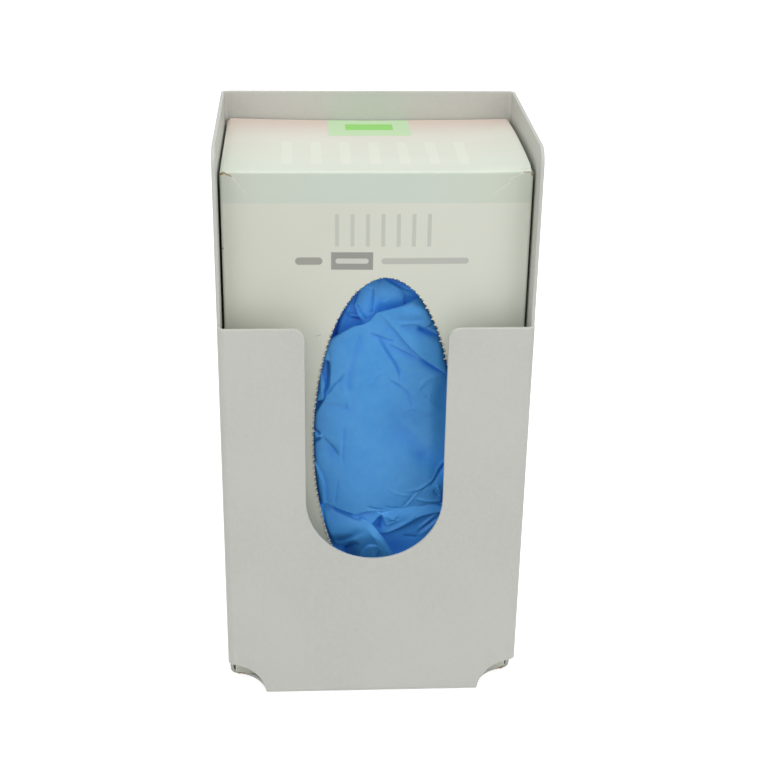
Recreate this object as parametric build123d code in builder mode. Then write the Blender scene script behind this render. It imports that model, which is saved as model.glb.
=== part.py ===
"""Wall holder for one carton of disposable gloves, with the carton and its gloves.

Millimetres. The origin is on the underside, at the centre of the holder's footprint.
+X is to the right of someone who faces the holder, +Y points at the wall, +Z is up.
"""

import os

from build123d import *

# Carton, standing on one end with its large face to the front
carton_width = 125.0
carton_depth = 79.5
carton_height = 241.5
board = 0.5
fold_radius = 1.0  # outside radius of a board fold

# End flaps of the carton, three layers of board at each end
outer_flap_taper = 1.0  # taken off each side of the outer flap at its free edge
dust_flap_length = 38.0
dust_flap_taper = 9.0
inner_flap_length = 60.0
inner_flap_taper = 3.0

# Torn-out dispensing opening in the carton's face, an ellipse
opening_width = 61.0
opening_height = 151.2
opening_off_centre = 4.2  # towards +X

# Room that the holder leaves round the carton
side_clearance = 1.0
back_clearance = 0.5
finger_room = 12.0  # between the carton's face and the front panel
rim_above_carton = 12.0

# Holder, folded from painted sheet
sheet = 1.5
bend_inside = 1.5
front_height = 181.0
wall_setback = 0.5  # upright edge of a side wall, behind the bend that it clears
wall_corner_radius = 7.0
slot_width = 58.8
slot_bottom = 71.6
slot_corner_radius = 5.0
relief_radius = 17.0  # round cut-out where front, side and floor meet
edge_round = 0.4  # cut edges, rounded over by the paint
square_angle = 45.0  # faces that meet at more than this make a cut edge, and not a bend

# Screw holes in the back panel
screw_hole_diameter = 5.0
screw_spacing_x = 40.0
screw_spacing_z = 120.0
screw_centre_z = 150.0

# Gloves
glove_clearance = 0.3
stack_side_room = 2.5
stack_head_room = 6.0
loose_depth = 12.8  # the two gloves pulled forward into the opening
loose_margin = 6.0  # from the stack's sides to theirs
lower_glove_height = 85.0
glove_corner_radius = 5.0
loose_edge_chamfer = 2.5

# Sizes that follow
bend_outside = bend_inside + sheet
inner_width = carton_width + 2 * side_clearance
inner_depth = carton_depth + back_clearance + finger_room
holder_width = inner_width + 2 * sheet
holder_depth = inner_depth + 2 * sheet
holder_height = sheet + carton_height + rim_above_carton
half_width = holder_width / 2
half_depth = holder_depth / 2
wall_edge_depth = bend_outside + wall_setback

carton_back_y = half_depth - sheet - back_clearance
carton_front_y = carton_back_y - carton_depth
carton_y = (carton_front_y + carton_back_y) / 2
carton_base_z = sheet
carton_top_z = carton_base_z + carton_height
carton_mid_z = carton_base_z + carton_height / 2
carton_inner_width = carton_width - 2 * board
carton_inner_depth = carton_depth - 2 * board
end_thickness = 3 * board

stack_front_y = carton_front_y + board + glove_clearance + loose_depth + glove_clearance
stack_back_y = carton_back_y - board - glove_clearance
stack_width = carton_inner_width - 2 * stack_side_room
stack_base_z = carton_base_z + end_thickness
stack_top_z = carton_top_z - end_thickness - stack_head_room
loose_width = stack_width - 2 * loose_margin
loose_y = stack_front_y - glove_clearance
lower_glove_top_z = stack_base_z + lower_glove_height
front_glove_base_z = lower_glove_top_z + glove_clearance
front_glove_top_z = stack_top_z - loose_margin

front_plane = Plane.XZ.offset(half_depth)
carton_face_plane = Plane.XZ.offset(-carton_front_y)


def cut_edges(part):
    """Edges at which two faces of a part meet square and outwards, as along a cut in sheet."""

    def is_square(edge):
        meeting = [face for face in part.faces() if any(edge.is_same(e) for e in face.edges())]
        if len(meeting) != 2:
            return False
        normals = [face.normal_at(edge @ 0.5) for face in meeting]
        return normals[0].get_angle(normals[1]) > square_angle

    return part.edges().filter_by(is_square).filter_by(lambda edge: not edge.is_interior)


# Holder: five panels folded from one blank, its seams welded and dressed as round as the bends
with BuildPart() as holder:
    with BuildSketch(Plane.XY):
        Rectangle(holder_width, holder_depth)
    extrude(amount=holder_height)
    fillet(holder.edges() - holder.faces().sort_by(Axis.Z)[-1].edges(), radius=bend_outside)
    offset(amount=-sheet, openings=holder.faces().sort_by(Axis.Z)[-1])

    # Round reliefs at the front corners: a ball leaves the same round in all three panels
    front_corners = [Vector(side * half_width, -half_depth, 0) for side in (-1, 1)]
    with Locations(*front_corners):
        Sphere(relief_radius, mode=Mode.SUBTRACT)

    # Open front above the panel, and the dispensing slot down into it
    with BuildSketch(front_plane):
        with Locations((0, front_height)):
            Rectangle(holder_width, holder_height, align=(Align.CENTER, Align.MIN))
    extrude(amount=-wall_edge_depth, mode=Mode.SUBTRACT)
    with BuildSketch(front_plane):
        with Locations((0, slot_bottom + slot_width / 2)):
            Circle(slot_width / 2)
            Rectangle(slot_width, front_height, align=(Align.CENTER, Align.MIN))
    extrude(amount=-2 * sheet, mode=Mode.SUBTRACT)

    slot_corners = (
        holder.edges()
        .filter_by(Axis.Y)
        .filter_by(lambda e: abs(e.center().Z - front_height) < 0.01)
        .filter_by(lambda e: abs(abs(e.center().X) - slot_width / 2) < 0.01)
    )
    fillet(slot_corners, radius=slot_corner_radius)
    wall_corners = (
        holder.edges()
        .filter_by(Axis.X)
        .filter_by(lambda e: abs(e.center().Z - holder_height) < 0.01)
        .filter_by(lambda e: abs(e.center().Y - wall_edge_depth + half_depth) < 0.01)
    )
    fillet(wall_corners, radius=wall_corner_radius)

    # The paint rounds over every rim but those of the reliefs
    rims = cut_edges(holder.part).filter_by(
        lambda edge: all((edge @ 0.5 - c).length > relief_radius + edge_round for c in front_corners)
    )
    fillet(rims, radius=edge_round)

    # Screw holes in the back panel
    with BuildSketch(Plane.XZ.offset(-half_depth)):
        with Locations((0, screw_centre_z)):
            with GridLocations(screw_spacing_x, screw_spacing_z, 2, 2):
                Circle(screw_hole_diameter / 2)
    extrude(amount=2 * sheet, mode=Mode.SUBTRACT)
holder.part.label = "holder"


# Outline of the closed carton, as round along its edges as a fold in board
with BuildPart() as carton_outline:
    with BuildSketch(Plane.XY.offset(carton_base_z)):
        with Locations((0, carton_y)):
            Rectangle(carton_width, carton_depth)
    extrude(amount=carton_height)
    fillet(carton_outline.edges(), radius=fold_radius)


# Carton: a folded sleeve with three layers of glued flaps at each end
with BuildPart() as carton:
    with BuildSketch(Plane.XY.offset(carton_base_z)):
        with Locations((0, carton_y)):
            RectangleRounded(carton_width, carton_depth, fold_radius)
            RectangleRounded(
                carton_inner_width, carton_inner_depth, fold_radius - board, mode=Mode.SUBTRACT
            )
    extrude(amount=carton_height)

    # Outer flap, hinged on the face and drawn in a little towards its free edge
    with BuildSketch(Plane.XY.offset(carton_top_z)):
        with BuildLine():
            Polyline(
                (-carton_inner_width / 2, carton_front_y + board),
                (carton_inner_width / 2, carton_front_y + board),
                (carton_inner_width / 2 - outer_flap_taper, carton_back_y - board),
                (-carton_inner_width / 2 + outer_flap_taper, carton_back_y - board),
                close=True,
            )
        make_face()
    extrude(amount=-board)

    # Dust flaps, one from each side panel
    for side in (-1, 1):
        root_x = side * carton_inner_width / 2
        tip_x = side * (carton_inner_width / 2 - dust_flap_length)
        root_y = carton_inner_depth / 2
        tip_y = root_y - dust_flap_taper
        with BuildSketch(Plane.XY.offset(carton_top_z - board)):
            with BuildLine():
                Polyline(
                    (root_x, carton_y - root_y),
                    (root_x, carton_y + root_y),
                    (tip_x, carton_y + tip_y),
                    (tip_x, carton_y - tip_y),
                    close=True,
                )
            make_face()
        extrude(amount=-board)

    # Inner flap, hinged on the back panel
    with BuildSketch(Plane.XY.offset(carton_top_z - 2 * board)):
        with BuildLine():
            Polyline(
                (-carton_inner_width / 2, carton_back_y - board),
                (carton_inner_width / 2, carton_back_y - board),
                (carton_inner_width / 2 - inner_flap_taper, carton_back_y - inner_flap_length),
                (-carton_inner_width / 2 + inner_flap_taper, carton_back_y - inner_flap_length),
                close=True,
            )
        make_face()
    extrude(amount=-board)
    mirror(about=Plane.XY.offset(carton_mid_z))
    add(carton_outline.part, mode=Mode.INTERSECT)

    with BuildSketch(carton_face_plane):
        with Locations((opening_off_centre, carton_mid_z)):
            Ellipse(opening_width / 2, opening_height / 2)
    extrude(amount=-2 * board, mode=Mode.SUBTRACT)
carton.part.label = "carton"


# Stack of folded gloves that fills the carton behind the two loose ones
with BuildPart() as glove_stack:
    with BuildSketch(Plane.XY.offset(stack_base_z)):
        with Locations((0, stack_front_y)):
            Rectangle(stack_width, stack_back_y - stack_front_y, align=(Align.CENTER, Align.MIN))
    extrude(amount=stack_top_z - stack_base_z)
    fillet(glove_stack.edges().filter_by(Axis.Z), radius=glove_corner_radius)
    fillet(glove_stack.faces().sort_by(Axis.Z)[-1].edges(), radius=glove_corner_radius - 1)
glove_stack.part.label = "glove_stack"


# Glove that fills most of the opening, lying against the stack
with BuildPart() as front_glove:
    with BuildSketch(Plane.XZ.offset(-loose_y)):
        with Locations((0, front_glove_base_z)):
            Rectangle(
                loose_width, front_glove_top_z - front_glove_base_z, align=(Align.CENTER, Align.MIN)
            )
    extrude(amount=loose_depth)
    fillet(front_glove.edges().filter_by(Axis.Y), radius=glove_corner_radius)
    chamfer(front_glove.faces().sort_by(Axis.Y)[0].edges(), length=loose_edge_chamfer)
front_glove.part.label = "front_glove"


# Glove whose fold shows at the foot of the opening
with BuildPart() as lower_glove:
    with BuildSketch(Plane.XZ.offset(-loose_y)):
        with Locations((0, stack_base_z)):
            Rectangle(loose_width, lower_glove_height, align=(Align.CENTER, Align.MIN))
    extrude(amount=loose_depth)
    fillet(lower_glove.edges().filter_by(Axis.Y), radius=glove_corner_radius)
    chamfer(lower_glove.faces().sort_by(Axis.Y)[0].edges(), length=loose_edge_chamfer)
lower_glove.part.label = "lower_glove"


os.makedirs("parts", exist_ok=True)
for piece in (holder, carton, glove_stack, front_glove, lower_glove):
    export_step(piece.part, f"parts/{piece.part.label}.step")
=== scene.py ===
import math

import bmesh
import bpy
import numpy as np
from mathutils import Matrix, Vector


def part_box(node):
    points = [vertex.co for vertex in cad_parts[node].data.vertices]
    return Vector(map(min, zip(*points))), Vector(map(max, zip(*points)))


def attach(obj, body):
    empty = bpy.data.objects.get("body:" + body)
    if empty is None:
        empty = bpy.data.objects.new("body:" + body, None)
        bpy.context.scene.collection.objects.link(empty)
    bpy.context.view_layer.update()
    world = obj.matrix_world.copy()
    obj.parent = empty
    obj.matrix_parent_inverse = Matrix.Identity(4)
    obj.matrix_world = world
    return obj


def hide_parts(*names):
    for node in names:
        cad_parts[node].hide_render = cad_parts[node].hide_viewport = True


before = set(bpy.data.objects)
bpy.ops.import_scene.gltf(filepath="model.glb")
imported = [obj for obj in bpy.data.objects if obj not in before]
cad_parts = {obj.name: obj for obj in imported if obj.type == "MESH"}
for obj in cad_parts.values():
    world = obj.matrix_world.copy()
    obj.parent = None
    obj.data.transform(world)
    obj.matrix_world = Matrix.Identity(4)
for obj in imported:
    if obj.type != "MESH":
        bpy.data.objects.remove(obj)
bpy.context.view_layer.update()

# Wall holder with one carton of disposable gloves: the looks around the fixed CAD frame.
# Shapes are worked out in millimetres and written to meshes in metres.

MM = 0.001
BODY = "root"


def box_mm(node):
    """Lowest and highest corner of a CAD node in millimetres."""
    return tuple(np.array(corner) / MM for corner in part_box(node))


# ---------------------------------------------------------------- shader helpers


def srgb(red, green, blue):
    """A colour given as 0 to 255 per channel, in Blender's linear values."""

    def linear(value):
        value /= 255
        return value / 12.92 if value <= 0.04045 else ((value + 0.055) / 1.055) ** 2.4

    return (linear(red), linear(green), linear(blue), 1.0)


class Shader:
    """A material's nodes, each made by one short call that returns the socket it feeds from."""

    def __init__(self, name):
        self.material = bpy.data.materials.new(name)
        self.material.use_nodes = True
        self.nodes = self.material.node_tree.nodes
        self.links = self.material.node_tree.links
        self.nodes.clear()
        self.output = self.node("OutputMaterial")
        self.surface = self.node("BsdfPrincipled")
        self.links.new(self.surface.outputs["BSDF"], self.output.inputs["Surface"])
        self.place = self.scaled(self.node("TexCoord").outputs["Object"], 1 / MM)
        self.x, self.y, self.z = self.split(self.place)

    def node(self, kind, operation=None, **inputs):
        """A new node of a kind, with its operation, and with its named inputs set or linked."""
        node = self.nodes.new("ShaderNode" + kind)
        if operation:
            node.operation = operation
        for name, value in inputs.items():
            self.plug(node.inputs[name], value)
        return node

    def plug(self, socket, value):
        if isinstance(value, bpy.types.NodeSocket):
            self.links.new(value, socket)
        else:
            socket.default_value = value

    def plug_all(self, sockets, values):
        for socket, value in zip(sockets, values):
            self.plug(socket, value)

    def set(self, **values):
        """Sets or links inputs of the surface shader: base_color=..., roughness=..."""
        for key, value in values.items():
            self.plug(self.surface.inputs[key.replace("_", " ").title().replace("Ior", "IOR")], value)

    def split(self, vector):
        node = self.node("SeparateXYZ")
        self.plug(node.inputs[0], vector)
        return node.outputs

    def math(self, operation, first, second=0.0):
        node = self.node("Math", operation)
        self.plug_all(node.inputs, (first, second))
        return node.outputs[0]

    def times(self, first, second):
        return self.math("MULTIPLY", first, second)

    def mix(self, factor, first, second):
        """The first colour where factor is 0, the second where it is 1."""
        node = self.node("Mix")
        node.data_type = "RGBA"
        self.plug_all((node.inputs["Factor"], node.inputs[6], node.inputs[7]), (factor, first, second))
        return node.outputs[2]

    def ramp(self, value, low, high, start=0.0, end=1.0):
        """value from low to high becomes start to end, eased and held outside."""
        node = self.node("MapRange")
        node.interpolation_type = "SMOOTHSTEP"
        self.plug_all(node.inputs, (value, low, high, start, end))
        return node.outputs[0]

    def band(self, value, low, high, soft):
        """1 where value lies from low to high, 0 outside, with edges that are soft wide."""
        rise = self.ramp(value, low - soft, low + soft)
        fall = self.ramp(value, high - soft, high + soft, 1.0, 0.0)
        return self.times(rise, fall)

    def area(self, across, left, right, up, low, high, soft):
        """1 inside a rectangle of two directions, 0 outside."""
        return self.times(self.band(across, left, right, soft), self.band(up, low, high, soft))

    def noise(self, size, detail=2.0, roughness=0.5):
        """Cloudy noise from 0 to 1 whose blotches are about size millimetres across."""
        node = self.node("TexNoise", Vector=self.place, Scale=1 / size, Detail=detail, Roughness=roughness)
        return node.outputs["Fac"]

    def cells(self, size):
        """Distance to the nearest of scattered points, size millimetres apart."""
        return self.node("TexVoronoi", Vector=self.place, Scale=1 / size).outputs["Distance"]

    def vector(self, operation, first, second=(0.0, 0.0, 0.0)):
        node = self.node("VectorMath", operation)
        self.plug_all(node.inputs, (first, second))
        return node.outputs["Value" if operation in ("LENGTH", "DOT_PRODUCT") else "Vector"]

    def scaled(self, vector, factor):
        return self.node("VectorMath", "SCALE", Vector=vector, Scale=factor).outputs["Vector"]

    def streak(self, start, end, radius, soft, place=None, axes=(1.0, 1.0, 1.0)):
        """1 within radius of the line from start to end, a bar with round ends. An axis of 0 is ignored."""
        axes = Vector(axes)
        start, end = Vector(start) * axes, Vector(end) * axes
        run = end - start
        here = self.vector("MULTIPLY", place or self.place, tuple(axes))
        from_start = self.vector("SUBTRACT", here, tuple(start))
        along = self.math("DIVIDE", self.vector("DOT_PRODUCT", from_start, tuple(run)), run.length_squared)
        held = self.math("MINIMUM", self.math("MAXIMUM", along, 0.0), 1.0)
        rest = self.vector("SUBTRACT", from_start, self.scaled(tuple(run), held))
        return self.ramp(self.vector("LENGTH", rest), radius - soft, radius + soft, 1.0, 0.0)

    def streaks(self, lines, soft, place):
        """1 within any of several streaks, each given by its start, its end and its radius."""
        total = 0.0
        for start, end, radius in lines:
            total = self.math("MAXIMUM", total, self.streak(start, end, radius, soft, place=place))
        return total

    def wobbled(self, size, amount):
        """The place on the object, shifted by up to amount millimetres, for ragged outlines."""
        noise = self.node("TexNoise", Vector=self.place, Scale=1 / size, Detail=3.0)
        shift = self.vector("SUBTRACT", noise.outputs["Color"], (0.5, 0.5, 0.5))
        return self.vector("ADD", self.place, self.scaled(shift, 2 * amount))

    def value_at_points(self, name):
        """A number that the mesh keeps for each of its points."""
        node = self.node("Attribute")
        node.attribute_name = name
        return node.outputs["Fac"]

    def normal(self):
        return self.split(self.node("NewGeometry").outputs["True Normal"])

    def bump(self, height, depth, strength=1.0, under=None):
        """A normal from a height of 0 to 1 that stands for depth millimetres."""
        node = self.node("Bump", Strength=strength, Distance=depth * MM, Height=height)
        if under is not None:
            self.plug(node.inputs["Normal"], under)
        return node.outputs[0]


# ---------------------------------------------------------------- camera, light and floor

CAMERA_PLACE = Vector((-0.03034, -0.60307, 0.41966))
CAMERA_YAW = 0.0603
CAMERA_PITCH = 0.442
CAMERA_ROLL = 0.0169
CAMERA_LENS = 69.83
CAMERA_SENSOR = 36
CAMERA_NEAREST = 0.01
WORLD_LIGHT = 0.54
LIGHT_TARGET = Vector((0, 0, 0.13))
FLOOR_REACH = 4.0
FLOOR_GREY = 0.8
FLOOR_GLOW = 0.72


def add_camera():
    camera = bpy.data.objects.new("camera", bpy.data.cameras.new("camera"))
    camera.data.lens = CAMERA_LENS
    camera.data.sensor_width = CAMERA_SENSOR
    camera.data.clip_start = CAMERA_NEAREST
    turn = (
        Matrix.Rotation(-CAMERA_YAW, 4, "Z")
        @ Matrix.Rotation(math.pi / 2 - CAMERA_PITCH, 4, "X")
        @ Matrix.Rotation(CAMERA_ROLL, 4, "Z")
    )
    camera.matrix_world = Matrix.Translation(CAMERA_PLACE) @ turn
    bpy.context.collection.objects.link(camera)
    bpy.context.scene.camera = camera


def seen_directly(nodes, links):
    """1 for rays from the camera and for reflected and refracted ones, 0 for diffuse light."""
    path = nodes.new("ShaderNodeLightPath")
    seen = path.outputs["Is Camera Ray"]
    for kind in ("Is Glossy Ray", "Is Transmission Ray"):
        either = nodes.new("ShaderNodeMath")
        either.operation = "MAXIMUM"
        links.new(seen, either.inputs[0])
        links.new(path.outputs[kind], either.inputs[1])
        seen = either.outputs[0]
    return seen


def add_world():
    """White to the eye and in reflections, and a soft even light on the object."""
    world = bpy.data.worlds.new("studio")
    world.use_nodes = True
    nodes, links = world.node_tree.nodes, world.node_tree.links
    background = nodes["Background"]
    background.inputs["Color"].default_value = (1, 1, 1, 1)
    level = nodes.new("ShaderNodeMapRange")
    links.new(seen_directly(nodes, links), level.inputs["Value"])
    level.inputs["To Min"].default_value = WORLD_LIGHT
    level.inputs["To Max"].default_value = 1.0
    links.new(level.outputs[0], background.inputs["Strength"])
    bpy.context.scene.world = world


def add_softbox(name, place, size, power):
    """A white rectangle of light that faces the object's middle. Places and sizes are in metres."""
    light = bpy.data.lights.new(name, "AREA")
    light.shape = "RECTANGLE"
    light.size, light.size_y = size
    light.energy = power
    lamp = bpy.data.objects.new(name, light)
    aim = LIGHT_TARGET - Vector(place)
    lamp.matrix_world = Matrix.Translation(Vector(place)) @ aim.to_track_quat("-Z", "Y").to_matrix().to_4x4()
    lamp.visible_camera = False
    bpy.context.collection.objects.link(lamp)


def add_floor():
    """A pale floor that is white to the eye, apart from the shadow that lies on it."""
    shader = Shader("floor")
    shader.set(base_color=(FLOOR_GREY, FLOOR_GREY, FLOOR_GREY, 1.0), roughness=0.9, specular_ior_level=0.0)
    seen = seen_directly(shader.nodes, shader.links)
    glow = shader.node("Emission", Strength=shader.times(seen, FLOOR_GLOW))
    both = shader.node("AddShader")
    shader.plug_all(both.inputs, (glow.outputs[0], shader.surface.outputs[0]))
    shader.links.new(both.outputs[0], shader.output.inputs["Surface"])
    mesh = bpy.data.meshes.new("floor")
    signs = ((-1, -1), (1, -1), (1, 1), (-1, 1))
    mesh.from_pydata([(FLOOR_REACH * x, FLOOR_REACH * y, 0) for x, y in signs], [], [(0, 1, 2, 3)])
    mesh.materials.append(shader.material)
    floor = bpy.data.objects.new("floor", mesh)
    bpy.context.collection.objects.link(floor)


add_camera()
add_world()
add_softbox("overhead", (0.0, -0.35, 1.15), (0.9, 0.7), 4.6)
add_softbox("front_left", (-0.85, -0.95, 0.65), (0.7, 0.9), 2.3)
add_softbox("front_right", (0.9, -0.85, 0.5), (0.7, 0.9), 2.7)
add_floor()

scene = bpy.context.scene
scene.view_settings.view_transform = "Standard"


# ---------------------------------------------------------------- holder: powder-coated sheet


def powder_coat():
    """Warm pale grey powder coat: a fine orange peel, faint clouding and a few dark specks."""
    shader = Shader("powder_coat")
    clouds = shader.noise(60, detail=3)
    colour = shader.mix(shader.ramp(clouds, 0.3, 0.7), srgb(193, 194, 187), srgb(198, 199, 192))
    grain = shader.noise(1.6, detail=3, roughness=0.7)
    colour = shader.mix(shader.ramp(grain, 0.3, 0.7, 0.0, 0.5), colour, srgb(202, 203, 197))
    specks = shader.ramp(shader.cells(7), 0.02, 0.035, 0.5, 0.0)
    colour = shader.mix(specks, colour, srgb(120, 118, 110))
    peel = shader.noise(0.7, detail=2)
    shader.set(
        base_color=colour,
        roughness=shader.ramp(peel, 0.3, 0.7, 0.42, 0.54),
        normal=shader.bump(peel, 0.03, 0.6),
        specular_ior_level=0.4,
    )
    return shader.material


def dress(node, material):
    """Gives a CAD node a finished material."""
    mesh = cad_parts[node].data
    mesh.materials.clear()
    mesh.materials.append(material)


dress("holder", powder_coat())


# ---------------------------------------------------------------- meshes

JOIN_DISTANCE = 0.002
SHARP_ANGLE = 40


def mesh_object(name, points, faces, materials, values=None):
    """A mesh from points in millimetres, joined where they meet, with named values at its points."""
    mesh = bpy.data.meshes.new(name)
    mesh.from_pydata([tuple(p) for p in np.asarray(points) * MM], [], faces)
    for material in materials:
        mesh.materials.append(material)
    for key, numbers in (values or {}).items():
        mesh.attributes.new(key, "FLOAT", "POINT").data.foreach_set("value", numbers)
    build = bmesh.new()
    build.from_mesh(mesh)
    bmesh.ops.remove_doubles(build, verts=build.verts, dist=JOIN_DISTANCE * MM)
    build.to_mesh(mesh)
    build.free()
    piece = bpy.data.objects.new(name, mesh)
    bpy.context.collection.objects.link(piece)
    return piece


def settle(piece):
    """Makes a piece's modifiers part of its mesh, and shades it smooth but for sharp edges."""
    ready = piece.evaluated_get(bpy.context.evaluated_depsgraph_get())
    mesh = bpy.data.meshes.new_from_object(ready)
    piece.modifiers.clear()
    piece.data = mesh
    mesh.shade_smooth()
    mesh.set_sharp_from_angle(angle=math.radians(SHARP_ANGLE))


class Patches:
    """Grids of points and the faces between them, gathered into one mesh."""

    def __init__(self):
        self.points, self.faces, self.count = [], [], 0

    def add(self, grid, flip=False):
        """Adds a grid's points and the quads between them."""
        rows, columns = grid.shape[:2]
        for i in range(rows - 1):
            for j in range(columns - 1):
                a = self.count + i * columns + j
                quad = (a, a + columns, a + columns + 1, a + 1)
                self.faces.append(quad[::-1] if flip else quad)
        self.append(grid.reshape(-1, 3))

    def append(self, points):
        self.points.append(points)
        self.count += len(points)

    def all_points(self):
        return np.concatenate(self.points)


def ease(value, low, high):
    """0 below low, 1 above high, and smooth between."""
    share = np.clip((value - low) / (high - low), 0, 1)
    return share * share * (3 - 2 * share)


def soft_noise(x, z, size, seed):
    """Smooth noise from about -1 to 1 on a plane, made from a few waves."""
    chance = np.random.default_rng(seed)
    total = np.zeros(np.broadcast(x, z).shape)
    for _ in range(6):
        angle, phase = chance.uniform(0, 2 * math.pi, 2)
        length = size * chance.uniform(0.7, 1.6)
        total += np.sin(2 * math.pi * (x * math.cos(angle) + z * math.sin(angle)) / length + phase)
    return total / 3.5


# ---------------------------------------------------------------- carton: folded board

BOARD = 0.5
FOLD = 1.0
carton_low, carton_high = box_mm("carton")
CARTON_MIDDLE_Z = (carton_low[2] + carton_high[2]) / 2
FACE_LEFT, FACE_RIGHT = carton_low[0] + FOLD, carton_high[0] - FOLD
FACE_FOOT, FACE_HEAD = carton_low[2] + FOLD, carton_high[2] - FOLD
SIDE_FRONT, SIDE_BACK = carton_low[1] + FOLD, carton_high[1] - FOLD
FACE_ACROSS = np.linspace(FACE_LEFT, FACE_RIGHT, 125)
FACE_UP = np.linspace(FACE_FOOT, FACE_HEAD, 241)
WALL_SAMPLES = 20
HINGE_SAMPLES = 76
FLAP_SAMPLES = 45
LEAST_RISE = 0.04
DUST_FLAP = 38
INNER_FLAP = 60
OPENING_X = 4.2
OPENING_HALF_WIDTH = 30.5
OPENING_HALF_HEIGHT = 76.2
TOOTH_PITCH = 2.75


def from_opening(x, z):
    """How far a place lies from the opening's middle, as shares of its half width and half height."""
    return (x - OPENING_X) / OPENING_HALF_WIDTH, (z - CARTON_MIDDLE_Z) / OPENING_HALF_HEIGHT


def opening_point(turn, offset=0.0):
    """A point of the opening's ellipse, moved outwards by offset millimetres."""
    across = OPENING_HALF_WIDTH * np.cos(turn)
    up = OPENING_HALF_HEIGHT * np.sin(turn)
    out_x = np.cos(turn) / OPENING_HALF_WIDTH
    out_z = np.sin(turn) / OPENING_HALF_HEIGHT
    length = np.hypot(out_x, out_z)
    return (
        OPENING_X + across + offset * out_x / length,
        CARTON_MIDDLE_Z + up + offset * out_z / length,
    )


def tooth_heights(turn):
    """How far the torn ties stand into the opening, in millimetres, at each turn of the ellipse."""
    chance = np.random.default_rng(11)
    x, z = opening_point(turn)
    steps = np.hypot(np.diff(x, append=x[0]), np.diff(z, append=z[0]))
    way = np.concatenate([[0], np.cumsum(steps)[:-1]])
    teeth = int(steps.sum() / TOOTH_PITCH)
    pitch = steps.sum() / teeth
    reach = chance.uniform(0.25, 0.6, teeth)
    half_width = chance.uniform(0.4, 0.6, teeth)
    lean = chance.uniform(-0.25, 0.25, teeth)
    which = np.minimum((way / pitch).astype(int), teeth - 1)
    right_side = np.clip(from_opening(x, z)[0], 0, 1)
    near_top = ease(z, CARTON_MIDDLE_Z + 0.75 * OPENING_HALF_HEIGHT, CARTON_MIDDLE_Z + OPENING_HALF_HEIGHT)
    from_middle = (way / pitch - which - 0.5) * pitch
    shape = np.clip(1 - np.abs(from_middle - lean[which]) / half_width[which], 0, 1) ** 0.8
    scallop = 0.17 * np.cos(2 * math.pi * from_middle / pitch)
    ragged = chance.uniform(-0.04, 0.04, len(turn))
    return scallop + ragged + shape * reach[which] * (1 + 1.6 * right_side) * (1 - 0.5 * near_top)


def face_relief(x, z):
    """How far the face stands out of its plane: a little slack, more beside the opening."""
    near = np.hypot(*from_opening(x, z))
    rim = np.minimum.reduce([x - carton_low[0], carton_high[0] - x, z - carton_low[2], carton_high[2] - z])
    slack = 0.3 + 0.22 * soft_noise(x, z, 70, 3)
    lip = 0.3 * np.exp(-((near - 1) / 0.25) ** 2) * (1 + 0.5 * soft_noise(x, z, 45, 5))
    return np.clip(rim / 12, 0, 1) * (slack + lip)


def carton_face(patches):
    """The face with its torn-out opening: rings from the torn edge out to the folds."""
    across, up = FACE_ACROSS, FACE_UP
    right, left = np.full(len(up) - 1, FACE_RIGHT), np.full(len(up) - 1, FACE_LEFT)
    foot, head = np.full(len(across) - 1, FACE_FOOT), np.full(len(across) - 1, FACE_HEAD)
    rim_x = np.concatenate([across[:-1], right, across[:0:-1], left])
    rim_z = np.concatenate([foot, up[:-1], head, up[:0:-1]])
    turn = np.unwrap(np.arctan2(*from_opening(rim_x, rim_z)[::-1]))
    count = len(turn)
    fine_turn = np.empty(2 * count)
    fine_turn[0::2] = turn
    fine_turn[1::2] = (turn + np.append(turn[1:], turn[0] + 2 * math.pi)) / 2

    # Two points to each one of the rim as far as the last narrow ring, which the wide rings then halve
    rings = []
    teeth = tooth_heights(fine_turn)
    chance = np.random.default_rng(23)
    curl = np.repeat(chance.uniform(-0.25, 0.35, count // 3 + 1), 6)[: 2 * count]
    for offset, share in ((-teeth, 1.0), (0.0, 0.35), (0.3, 0.0), (0.8, 0.0), (1.6, 0.0)):
        x, z = opening_point(fine_turn, offset)
        rings.append((x, z, curl * np.clip(teeth, 0, None) * share))
    for blend in np.linspace(0, 1, 24) ** 1.15:
        x, z = opening_point(turn, 2.6)
        rings.append((x + (rim_x - x) * blend, z + (rim_z - z) * blend, 0.0))

    starts = []
    for x, z, out in rings:
        starts.append(patches.count)
        y = carton_low[1] - face_relief(x, z) - out
        patches.append(np.stack([x, y, z], axis=1))
    for (inner, *_), (outer, *_), a, b in zip(rings, rings[1:], starts, starts[1:]):
        for j in range(len(outer)):
            k = (j + 1) % len(outer)
            if len(inner) == len(outer):
                patches.faces.append((a + j, b + j, b + k, a + k))
            else:
                middle, end = a + 2 * j + 1, a + (2 * j + 2) % len(inner)
                patches.faces.append((a + 2 * j, b + j, middle))
                patches.faces.append((middle, b + j, b + k))
                patches.faces.append((middle, b + k, end))


def arc(centre, radii, start, end, steps=6):
    """Points of an elliptical arc in a plane, from a start to an end angle in degrees."""
    angles = np.radians(np.linspace(start, end, steps + 1))
    return np.stack([centre[0] + radii[0] * np.cos(angles), centre[1] + radii[1] * np.sin(angles)], axis=1)


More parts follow.
